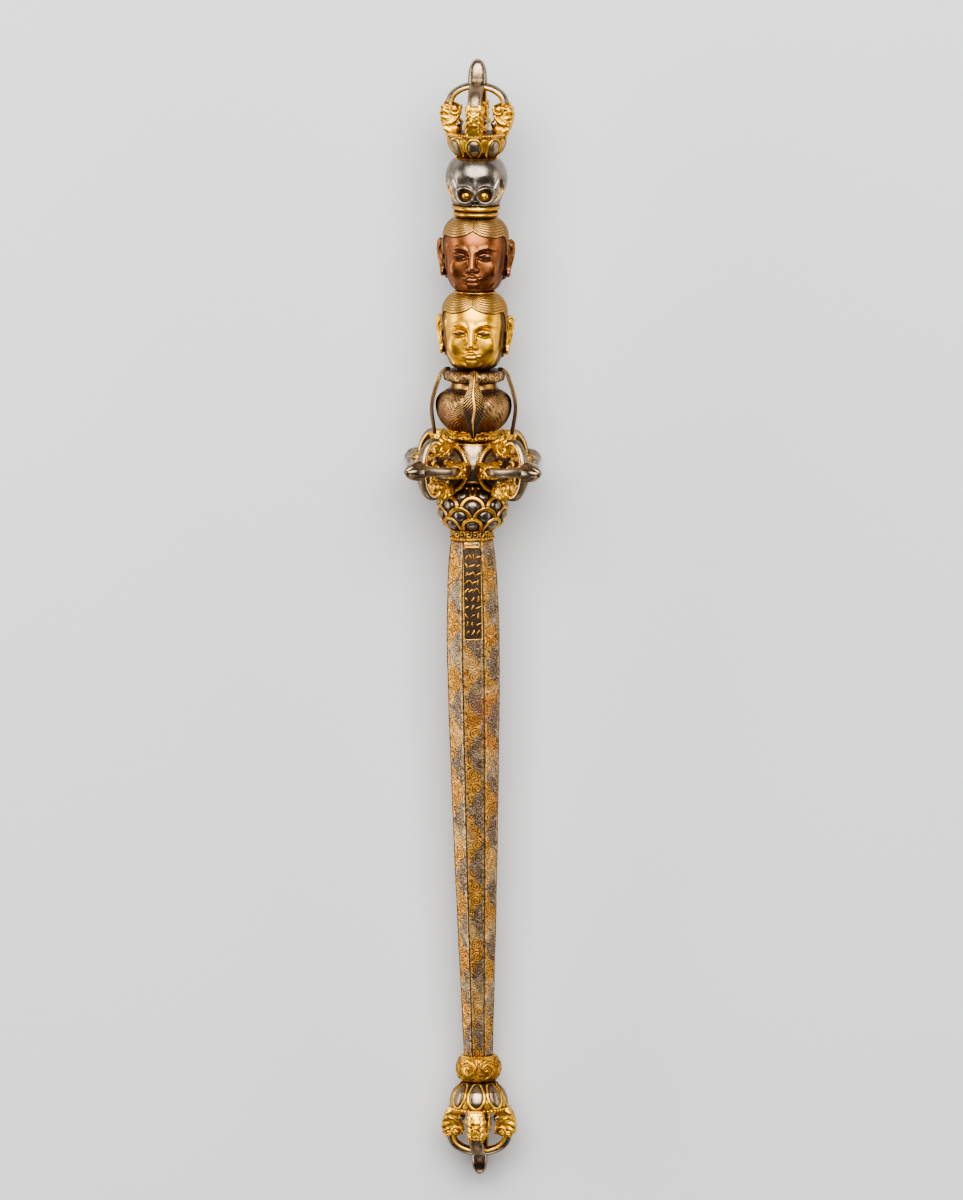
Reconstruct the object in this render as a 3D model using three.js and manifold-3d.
// A short ritual staff of iron, damascened and gilded: a five-pronged thunderbolt finial on a lotus, a skull,
// two heads, a vase hung with four long leaves, a crossed thunderbolt, a lotus ball, an eight-sided tapering
// shaft, a knop, and a second lotus with a thunderbolt below. It lies on its back, at rest on the tips of two
// arms of the crossed thunderbolt and on the lower finial.
//
// Each piece is worked out upright (z up the staff from its lower tip, front towards -y, millimetres) and the
// whole is then laid down: z of the staff becomes +Y of the part, and its front faces +Z.
import * as THREE from "three";
import { mergeVertices } from "three/addons/utils/BufferGeometryUtils.js";
import Module from "manifold-3d";

// ---------------------------------------------------------------- driving sizes, mm
const LENGTH = 442.4; // tip to tip
const FOOT = -1.8; // height of the lower tip: the other heights were set out from 1.8 above it
const GAP = 0.3; // left between pieces that meet
const Z = {
  // where each piece begins, up the staff from the lower tip
  lowerPlate: 25.0,
  lowerLotus: 35.6,
  knop: 35.9,
  shaft: 46.4,
  neck: 251.0,
  lotusBall: 255.6,
  hub: 273.3,
  hubMid: 280.6,
  collar: 290.7,
  vase: 293.0,
  gilt: 318.5,
  copper: 349.2,
  skull: 378.9,
  topLotus: 402.5,
  topPlate: 411.0,
};
const BEND_DEG = 0.7; // the old staff is bent a little at its neck, each half leaning this much
const TURN_DEG = -6; // finials and heads are turned this much about the staff
const PETALS = 8;
const ARMS = 4;
const SHAVE = 0.25; // depth of the worn flats it rests on
// Laid down: the tilt that brings two arms and the lower finial to the ground together, and the shift
// that puts the origin under the middle of the box.
const REST = { tiltDeg: 2.762, x: 2.705, y: -219.13, z: 12.99 };

// The lower and upper half-thunderbolts and one arm of the crossed one. join: where the prongs meet,
// reach: how far out the prongs bow, bar: a prong's width and thickness, head: the beast head a prong leaves,
// from in to out across, w wide, h high and leaning outwards
const LOWER = {
  plateR: 10.9, plateT: 1.6, tip: 25.0 - FOOT, join: 16.4, reach: 11.6, barW: 5.2, barT: 3.2,
  tipR: 3.3, rod: 1.3, head: { in: 7.0, out: 14.6, w: 7.4, h: 11.6, lean: 0.8 },
};
const UPPER = {
  plateR: 11.4, plateT: 1.8, tip: LENGTH + FOOT - Z.topPlate, join: 19.0, reach: 11.8, barW: 5.2, barT: 2.6,
  tipR: 3.4, rod: 1.2, head: { in: 7.2, out: 15.1, w: 7.5, h: 12.6, lean: 1.2 },
};
const ARM = {
  plateR: 9.7, plateT: 1.8, tip: 25.0, join: 17.0, reach: 12.4, barW: 4.8, barT: 2.7,
  tipR: 3.1, rod: 1.2, head: { in: 5.8, out: 12.6, w: 6.2, h: 9.0, lean: 0.8 },
};
const ARM_START = 12.2; // from the staff's axis to the beaded plate of an arm

// ---------------------------------------------------------------- tools
const wasm = await Module();
wasm.setup();
const rad = (d) => (d * Math.PI) / 180;
const clamp = (v, a, b) => Math.min(b, Math.max(a, v));
const smooth = (a, b, v) => {
  const t = clamp((v - a) / (b - a), 0, 1);
  return t * t * (3 - 2 * t);
};
const bump = (v, mid, half) => {
  const t = (v - mid) / half;
  return Math.abs(t) < 1 ? (1 - t * t) ** 2 : 0;
};

// A closed three.js geometry as a solid that can be joined and cut.
function solid(geometry) {
  const g = geometry.index ? geometry.toNonIndexed() : geometry.clone();
  g.deleteAttribute("normal");
  g.deleteAttribute("uv");
  const m = mergeVertices(g, 1e-4);
  const tri = [];
  const ix = m.index.array;
  for (let i = 0; i < ix.length; i += 3)
    if (ix[i] !== ix[i + 1] && ix[i + 1] !== ix[i + 2] && ix[i] !== ix[i + 2])
      tri.push(ix[i], ix[i + 1], ix[i + 2]);
  const make = (t) =>
    new wasm.Manifold(
      new wasm.Mesh({
        numProp: 3,
        vertProperties: new Float32Array(m.attributes.position.array),
        triVerts: new Uint32Array(t),
      }),
    );
  const s = make(tri);
  if (s.volume() > 0) return s;
  const back = [];
  for (let i = 0; i < tri.length; i += 3) back.push(tri[i], tri[i + 2], tri[i + 1]);
  return make(back);
}
const join = (list) => list.map((g) => (g.isBufferGeometry ? solid(g) : g)).reduce((a, b) => a.add(b));
function geometryOf(s) {
  const m = s.getMesh(),
    n = m.numProp,
    v = new Float32Array(m.numVert * 3);
  for (let i = 0; i < m.numVert; i++) v.set(m.vertProperties.subarray(i * n, i * n + 3), i * 3);
  const g = new THREE.BufferGeometry();
  g.setAttribute("position", new THREE.BufferAttribute(v, 3));
  g.setIndex(new THREE.BufferAttribute(new Uint32Array(m.triVerts), 1));
  g.computeVertexNormals();
  return g;
}
// Moves every vertex of a geometry by a function of its place.
function shaped(g, fn) {
  const p = g.attributes.position,
    v = new THREE.Vector3();
  for (let i = 0; i < p.count; i++) {
    v.fromBufferAttribute(p, i);
    fn(v);
    p.setXYZ(i, v.x, v.y, v.z);
  }
  return g;
}
// A turned form: pairs of radius and height up the staff, from the axis to the axis.
const turned = (profile, sides) =>
  new THREE.LatheGeometry(profile.map(([r, z]) => new THREE.Vector2(r, z)), sides).rotateX(Math.PI / 2);
// A turned form whose radius is also a function of the angle from the front and of the height.
function carved(profile, sides, fn) {
  return shaped(turned(profile, sides), (v) => {
    const r = Math.hypot(v.x, v.y);
    if (r < 1e-6) return;
    const a = Math.atan2(v.x, -v.y); // 0 at the front
    const k = fn(r, a, v.z) / r;
    v.x *= k;
    v.y *= k;
  });
}
const ball = (x, y, z, a, b, c, w = 8, h = 6) =>
  new THREE.SphereGeometry(1, w, h).rotateX(Math.PI / 2).scale(a, b, c).translate(x, y, z);
// A bar along a curve of the x-z plane, w wide across the plane and t thick in it at each share of its length.
function barAlong(points, w, t, steps, sides) {
  const curve = new THREE.CatmullRomCurve3(
    points.map(([x, z]) => new THREE.Vector3(x, 0, z)), false, "centripetal",
  );
  const across = new THREE.Vector3(0, 1, 0);
  const grow = 1 / Math.cos(Math.PI / sides); // so that the flats, not the corners, are w and t apart
  const g = new THREE.CylinderGeometry(grow, grow, 1, sides, steps, false, Math.PI / sides);
  return shaped(g, (v) => {
    const s = clamp(v.y + 0.5, 0, 1);
    const c = curve.getPointAt(s),
      along = curve.getTangentAt(s),
      out = along.clone().cross(across);
    const x = v.x * 0.5 * t(s),
      y = v.z * 0.5 * w(s);
    v.copy(c).addScaledVector(out, x).addScaledVector(across, y);
  });
}
const around = (g, n, first = 0) =>
  Array.from({ length: n }, (_, i) => g.clone().rotateZ((2 * Math.PI * i) / n + first));

// ---------------------------------------------------------------- half a thunderbolt, up from its beaded plate
function thunderbolt(k, fine) {
  const parts = [];
  // plate with its bevelled edge
  parts.push(turned([[0, -k.plateT], [k.plateR - 0.7, -k.plateT], [k.plateR, -k.plateT * 0.3], [k.plateR - 0.7, 0.8], [0, 0.8]], fine ? 14 : 12));
  // the middle prong and the point in which all five end
  const past = (share) => k.join + (k.tip - k.join) * share;
  parts.push(turned([
    [0, 0], [k.rod * 1.4, 0.2], [k.rod, k.join * 0.82],
    [k.tipR * 0.95, past(-0.08)], [k.tipR, past(0.4)], [k.tipR * 0.78, past(0.78)], [k.tipR * 0.4, past(0.96)], [0, k.tip],
  ], fine ? 8 : 6));
  // one bowed prong and the beast head at its foot
  const prong = barAlong(
    [[k.reach * 0.8, k.join * 0.3], [k.reach - k.barT * 0.5, k.join * 0.5],
      [k.reach * 0.76, k.join * 0.78], [k.reach * 0.46, k.join * 0.95], [k.reach * 0.14, k.join + 0.4]],
    () => k.barW, () => k.barT, fine ? 4 : 3, 4,
  );
  const h = k.head,
    mid = (h.in + h.out - h.lean) / 2,
    half = (h.out - h.in) / 2;
  // a snout that widens from a narrow neck on the plate to a rounded crown
  const head = shaped(
    turned(
      fine ? [[0, -0.3], [0.52, -0.3], [0.98, 0.42 * h.h], [1, 0.7 * h.h], [0.64, 0.94 * h.h], [0, h.h]] : [[0, -0.3], [0.5, -0.3], [1, 0.5 * h.h], [0.78, 0.86 * h.h], [0, h.h]],
      fine ? 6 : 5,
    ).rotateZ(fine ? 0 : Math.PI / 10),
    (v) => {
      v.x = mid + v.x * half + (h.lean * v.z) / h.h;
      v.y *= h.w / 2;
    },
  );
  const one = geometryOf(join([prong, head]));
  parts.push(...around(one, ARMS));
  return parts;
}
// A lotus cup with eight petals under a plate at height 1, mouth up.
function lotusCup(low, high, rLow, rHigh, flare, sides) {
  const h = high - low;
  return carved(
    [[0, low], [rLow, low], [rLow * 1.05, low + h * 0.12], [rHigh * (1 - 1.6 * flare), low + h * 0.42], [rHigh * (1 - 0.3 * flare), low + h * 0.78], [rHigh, high - 0.4], [0, high]],
    sides,
    (r, a, z) => (r < rLow * 1.02 ? r : r * (1 + 0.035 * Math.cos(PETALS * a) * smooth(low, low + h * 0.5, z))),
  );
}

// ---------------------------------------------------------------- pieces
function topFinial() {
  const t = Z.topPlate;
  const bolt = thunderbolt(UPPER, true).map((g) => g.translate(0, 0, t));
  const cup = lotusCup(Z.topLotus, t - 0.9, 7.9, 11.4, 0.03, 24);
  return join([...bolt, cup]);
}
function lowerFinial() {
  const bolt = thunderbolt(LOWER, true).map((g) => g.rotateX(Math.PI).translate(0, 0, Z.lowerPlate));
  const cup = lotusCup(0, Z.lowerLotus - GAP - Z.lowerPlate - 0.6, 7.0, 11.2, 0.12, 24).rotateX(Math.PI).translate(0, 0, Z.lowerLotus - GAP);
  return join([...bolt, cup]);
}
function skull() {
  const b = Z.skull,
    EYE = rad(23),
    EYE_Z = b + 9.9;
  const profile = [
    [0, b], [8.9, b], [9.3, b + 0.9], [8.7, b + 1.9], [9.2, b + 3.0], [8.7, b + 4.0], [9.5, b + 6], [10.7, b + 9], [11.9, b + 12.6],
    [12.1, b + 15.5], [11.6, b + 18.4], [10.1, b + 21.2], [7.9, Z.topLotus - GAP], [0, Z.topLotus - GAP],
  ];
  return join([
    carved(profile, 16, (r, a, z) => {
      if (z < b + 4.5 || z > b + 20) return r;
      const socket = (s) => Math.hypot((a - s * EYE) * 11, z - EYE_Z);
      const d = Math.min(socket(1), socket(-1));
      return r - 1.3 * bump(d, 0, 3.6) + 0.5 * bump(d, 4.4, 1.6) - 0.7 * bump(Math.hypot(a * 11, z - b - 7.2), 0, 2.2);
    }),
    ...[1, -1].map((s) => ball(Math.sin(s * EYE) * 9.8, -Math.cos(EYE) * 9.8, EYE_Z, 1.5, 1.5, 1.5, 6, 4)),
  ]);
}
// A head of plain, even proportions, from the underside of its jaw to the crown of its hair.
function head(low, high) {
  const h = high - low,
    mid = low + h * 0.5,
    HAIR = low + h * 0.72; // hairline at the brow's sides
  const profile = [
    [0, 0], [0.5, 0], [0.68, 0.05], [0.8, 0.14], [0.88, 0.26], [0.93, 0.38], [0.965, 0.5], [0.99, 0.62], [1.0, 0.73], [0.95, 0.84], [0.82, 0.93], [0.6, 1], [0, 1],
  ].map(([r, t]) => [r * 12.9, low + t * h]);
  const skin = carved(profile, 18, (r, a, z) => {
    const t = (z - low) / h;
    if (t <= 0.001 || t >= 0.999) return r;
    const f = a; // angle from the face's middle
    const nose = 2.0 * bump(f, 0, 0.2) * smooth(0.56, 0.32, t) * smooth(0.25, 0.31, t);
    const brow = 0.45 * bump(t, 0.57, 0.07) * bump(Math.abs(f), 0.4, 0.55);
    const eye = -0.8 * bump(t, 0.49, 0.07) * bump(Math.abs(f), 0.38, 0.3);
    const lips = 0.6 * bump(t, 0.2, 0.06) * bump(f, 0, 0.4);
    const chin = 0.7 * bump(t, 0.07, 0.09) * bump(f, 0, 0.5);
    const flat = -0.5 * bump(f, 0, 0.9) * smooth(0.7, 0.5, t);
    const hair = 0.45 * smooth(0.68, 0.75, t + 0.06 * smooth(0.2, 1.4, Math.abs(f)));
    return r + nose + brow + eye + lips + chin + flat + hair;
  });
  const ears = [1, -1].map((s) => ball(s * 13.0, 0.6, mid, 2.0, 2.8, h * 0.24, 6, 3));
  return join([skin, ...ears]);
}
function vase() {
  const top = Z.gilt - GAP;
  return solid(
    turned([
      [0, Z.vase], [8.0, Z.vase], [8.4, Z.vase + 1.2], [10.6, 297.4], [12.9, 300.4], [14.3, 303], [14.8, 305.4], [14.4, 307.6],
      [12.6, 309.3], [10.2, 310.8], [9.1, 312.6], [9.2, 313.7], [11.2, 314.1], [12.0, 315.6], [11.6, 317.4], [10.6, top], [0, top],
    ], 16),
  );
}
// A long leaf: a bowed strip from the vase's lip to the collar below it, widest by the vase's shoulder.
const LEAF = [[9.4, 319.3], [11.6, 319.2], [13.2, 317.2], [14.6, 313.6], [16.0, 309.4], [16.7, 305.0], [16.5, 300.6], [15.8, 297.0], [14.9, 293.9]];
const leafWidth = (s) => 3.6 + 4.6 * bump(s, 0.58, 0.42) - 2.2 * smooth(0.8, 1, s);
const leafThick = (s) => 1.0 + 0.3 * bump(s, 0.5, 0.5);
function leaf(angle) {
  return solid(barAlong(LEAF, leafWidth, leafThick, 9, 4).rotateZ(angle - Math.PI / 2));
}
// The ruffled collar of small leaves on which the vase stands.
function collar() {
  const top = Z.vase - GAP;
  return solid(carved([[0, Z.collar], [8.3, Z.collar], [8.9, Z.collar + 0.7], [9.4, top - 0.3], [8.7, top], [0, top]], 24, (r, a, z) =>
    r < 8 ? r : r * (1 + 0.03 * Math.cos(12 * a))));
}
function crossedThunderbolt(cut) {
  const hub = turned([
    [0, Z.hub], [7.9, Z.hub], [8.6, Z.hub + 1.4], [9.6, Z.hubMid - 3], [10.2, Z.hubMid], [9.6, Z.hubMid + 3.2], [8.6, Z.collar - GAP - 1.2], [7.9, Z.collar - GAP], [0, Z.collar - GAP],
  ], 12);
  const arm = thunderbolt(ARM, false);
  arm.push(turned([[0, -5.5], [6, -5.5], [8.6, -1.2], [0, -1.2]], 12)); // its short stem on the hub
  const one = geometryOf(join(arm)).translate(0, 0, ARM_START).rotateY(Math.PI / 2);
  const arms = around(one, ARMS, Math.PI / 4).map((g) => g.translate(0, 0, Z.hubMid));
  return cut(join([hub, ...arms]));
}
// Four rows of overlapping petals on a ball.
function lotusBall() {
  const low = Z.lotusBall,
    top = Z.hub - GAP;
  const rows = [low + 1.2, low + 5.4, low + 9.4, low + 13.2];
  return solid(
    carved(
      [[0, low], [8.4, low], [10.6, low + 1.6], [12.6, low + 4], [13.5, low + 6.6], [13.7, low + 9.2], [13.2, low + 11.8], [11.8, low + 14.2], [9.6, low + 16.2], [8.2, top], [0, top]],
      24,
      (r, a, z) => {
        if (r < 9) return r;
        let k = 0;
        rows.forEach((z0, i) => {
          const s = Math.cos(PETALS * a + (i % 2 ? Math.PI : 0));
          k = Math.max(k, bump(z, z0 + 1.8, 3) * (0.5 + 0.5 * s));
        });
        return r * 0.985 + 0.45 * k;
      },
    ),
  );
}
// Half the width across the flats of the shaft, at each height: it swells below the neck and tapers down.
const SHAFT = [[45.8, 5.8], [54, 6.05], [101.2, 7.75], [156.5, 9.4], [188.1, 10.15], [211.8, 10.4], [227.6, 10.1], [243.4, 9.2], [249.4, 8.5], [251.0, 8.3]];
const GROOVE = { half: 0.42, deep: 0.45 }; // the line sunk along each corner
function shaft() {
  const low = Z.shaft,
    top = Z.lotusBall - GAP;
  const levels = [low, 54, 101.2, 156.5, 188.1, 211.8, 227.6, 243.4, 249.4, 251.6];
  const half = (z) => {
    for (let i = 1; i < SHAFT.length; i++)
      if (z <= SHAFT[i][1 - 1]) {
        const [z0, r0] = SHAFT[i - 1],
          [z1, r1] = SHAFT[i];
        return r0 + ((r1 - r0) * clamp((z - z0) / (z1 - z0), 0, 1));
      }
    return SHAFT[SHAFT.length - 1][1];
  };
  // Section: eight flats, with a groove sunk at each corner.
  const g = new THREE.CylinderGeometry(1, 1, 1, 24, levels.length - 1, false).rotateX(Math.PI / 2);
  const body = shaped(g, (v) => {
    const i = Math.round((v.z + 0.5) * (levels.length - 1));
    const z = levels[i],
      r = half(z);
    if (Math.hypot(v.x, v.y) > 1e-6) {
      const step = Math.round((Math.atan2(v.y, v.x) / (2 * Math.PI)) * 24 + 24) % 24;
      const face = Math.floor((step + 1) / 3) % 8,
        part = (step + 1) % 3; // 0 and 2: ends of a flat, 1: between them
      const mid = (face * Math.PI) / 4;
      const side = r * Math.tan(Math.PI / 8) - GROOVE.half;
      const c = Math.cos(mid),
        s = Math.sin(mid);
      // step 3f-1 and 3f are the two ends of flat f, step 3f+1 the groove after it
      if (part === 2) {
        const corner = r / Math.cos(Math.PI / 8) - GROOVE.deep - 0.15,
          a = mid + Math.PI / 8;
        v.set(corner * Math.cos(a), corner * Math.sin(a), z);
      } else {
        const y = part === 0 ? -side : side;
        v.set(r * c - y * s, r * s + y * c, z);
      }
    } else v.z = z;
  });
  // The round neck above it, with its row of lappets and beads.
  const neck = turned([[0, 251.2], [8.1, 251.2], [8.8, 251.9], [8.5, 252.9], [8.2, 254.2], [8.3, top], [0, top]], 16);
  return join([body, neck]);
}
function knop() {
  const low = Z.knop,
    top = Z.shaft - GAP;
  return solid(turned([[0, low], [6.6, low], [8.0, low + 1.6], [8.75, low + 3.6], [8.8, low + 5.4], [8.3, low + 7.6], [7.2, low + 9.3], [6.2, top], [0, top]], 16));
}

// ---------------------------------------------------------------- laying it down
// The ground, as the upright pieces see it: everything past it is worn off as a small flat.
const restTurn = rad(-90 + REST.tiltDeg);
function groundCutter(bend, offsetX, offsetZ) {
  // a slab under the ground, brought back from the part's frame to that of a half of the staff
  return (s) => {
    const slab = new THREE.BoxGeometry(200, 700, 40).translate(0, 0, -20);
    const m = new THREE.Matrix4()
      .makeTranslation(REST.x, REST.y, REST.z)
      .multiply(new THREE.Matrix4().makeRotationX(restTurn))
      .multiply(new THREE.Matrix4().makeTranslation(offsetX, 0, offsetZ))
      .multiply(new THREE.Matrix4().makeRotationY(bend))
      .multiply(new THREE.Matrix4().makeTranslation(0, 0, -offsetZ))
      .invert();
    return s.subtract(solid(slab.applyMatrix4(m)));
  };
}
const lean = rad(BEND_DEG);
const NECK_SHIFT = -Math.tan(lean) * Z.neck;

const FINISH = {
  iron_silver: { color: 0x8c8780, roughness: 0.35, metalness: 1 },
  gilding: { color: 0xd9a441, roughness: 0.3, metalness: 1 },
  copper: { color: 0xa5592e, roughness: 0.35, metalness: 1 },
  damascene: { color: 0xa88a5c, roughness: 0.45, metalness: 0.9 },
  brown_iron: { color: 0x7a5f42, roughness: 0.45, metalness: 0.9 },
};
function piece(name, s, finish) {
  const mesh = new THREE.Mesh(geometryOf(s), new THREE.MeshStandardMaterial(FINISH[finish]));
  mesh.name = name;
  return mesh;
}
const turn = rad(TURN_DEG);
const lowerCut = groundCutter(-lean, 0, 0),
  upperCut = groundCutter(lean, NECK_SHIFT, Z.neck);
const turnedBy = (s, a) => solid(geometryOf(s).rotateZ(a));

// Lower half: shaft, knop and lower finial, leaning one way from the lower tip.
const lower = new THREE.Group();
lower.rotation.y = -lean;
lower.add(
  piece("shaft", shaft(), "damascene"),
  piece("knop", knop(), "gilding"),
  piece("lower_finial", lowerCut(turnedBy(lowerFinial(), turn)), "iron_silver"),
);
// Upper half: everything from the lotus ball up, leaning back the other way from the neck.
const upper = new THREE.Group();
upper.position.set(NECK_SHIFT, 0, Z.neck);
upper.rotation.y = lean;
const stack = new THREE.Group();
stack.position.z = -Z.neck;
stack.add(
  piece("lotus_ball", lotusBall(), "iron_silver"),
  piece("crossed_thunderbolt", crossedThunderbolt(upperCut), "iron_silver"),
  piece("leaf_collar", collar(), "gilding"),
  piece("vase", vase(), "brown_iron"),
  piece("leaf_front", leaf(0), "brown_iron"),
  piece("leaf_right", leaf(Math.PI / 2), "brown_iron"),
  piece("leaf_back", leaf(Math.PI), "brown_iron"),
  piece("leaf_left", leaf(-Math.PI / 2), "brown_iron"),
  piece("gilt_head", turnedBy(head(Z.gilt, Z.copper - GAP), turn), "gilding"),
  piece("copper_head", turnedBy(head(Z.copper, Z.skull - GAP), turn), "copper"),
  piece("skull", turnedBy(skull(), turn * 0.4), "iron_silver"),
  piece("top_finial", turnedBy(topFinial(), turn), "iron_silver"),
);
upper.add(stack);

const staff = new THREE.Group();
staff.name = "ritual_staff";
staff.add(lower, upper);
staff.rotation.x = restTurn;
staff.position.set(REST.x, REST.y, REST.z);
const part = new THREE.Group();
part.add(staff);
export default part;
